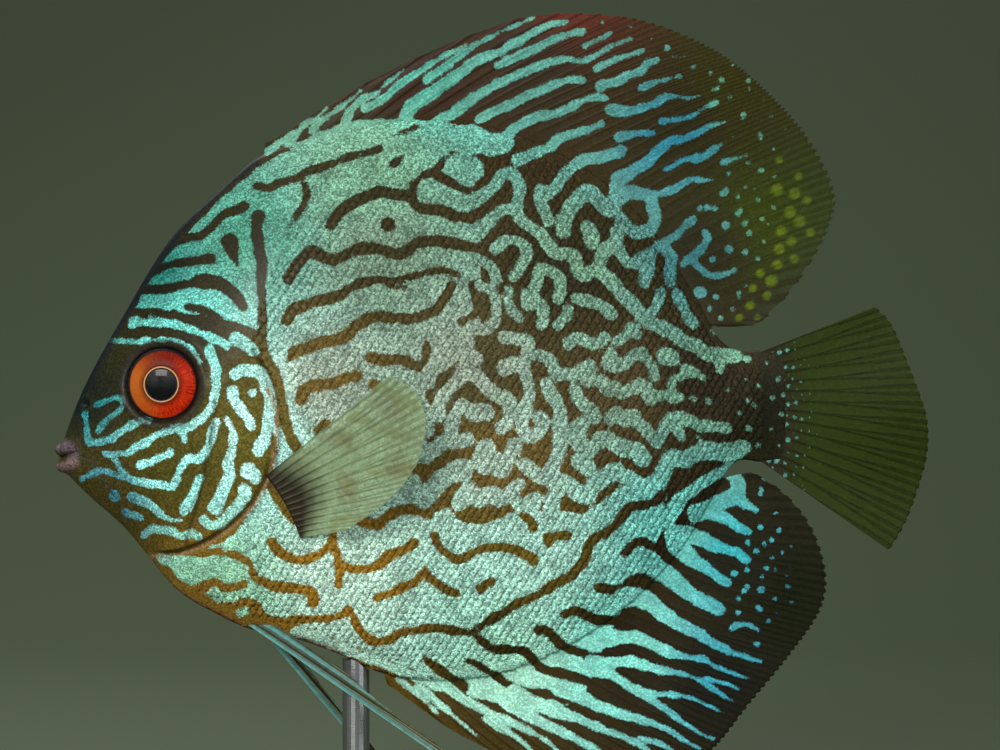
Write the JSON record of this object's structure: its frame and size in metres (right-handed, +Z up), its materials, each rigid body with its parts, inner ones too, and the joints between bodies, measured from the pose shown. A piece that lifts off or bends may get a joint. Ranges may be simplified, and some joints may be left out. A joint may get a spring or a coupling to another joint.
{
  "type": "discus fish model",
  "caption": "Life-size still model of a discus fish, a tall flat-sided disc with spread rayed fins and trailing pelvic fins, on a flat base with a rod.",
  "frame": {"origin": "centre of the stand's underside plane below the middle of the model's box", "axes": "+Z up, snout along -X, the fish's left side faces -Y"},
  "size_m": [0.1604, 0.062, 0.1609],
  "materials": {
    "skin": "satin, painted with brown and turquoise bands",
    "fin_skin": "satin, dark with cyan streaks",
    "clear_fin": "thin and partly clear",
    "eye": "glossy red-orange with a black pupil",
    "stand_body": "dark satin",
    "stand_metal": "brushed"
  },
  "bodies": {
    "root": {"head": "skin", "lower_jaw": "skin", "trunk": "skin", "tail_base": "skin", "gill_cover_left": "skin", "gill_cover_right": "skin", "eye_left": "eye", "eye_right": "eye", "dorsal_fin_spines": "fin_skin", "dorsal_fin_rays": "fin_skin", "anal_fin_spines": "fin_skin", "anal_fin_rays": "fin_skin", "tail_fin": "clear_fin", "pectoral_fin_left": "clear_fin", "pectoral_fin_right": "clear_fin", "pelvic_fin_left": "clear_fin", "pelvic_fin_right": "clear_fin", "stand_base": "stand_body", "stand_rod": "stand_metal"}
  },
  "joints": []
}
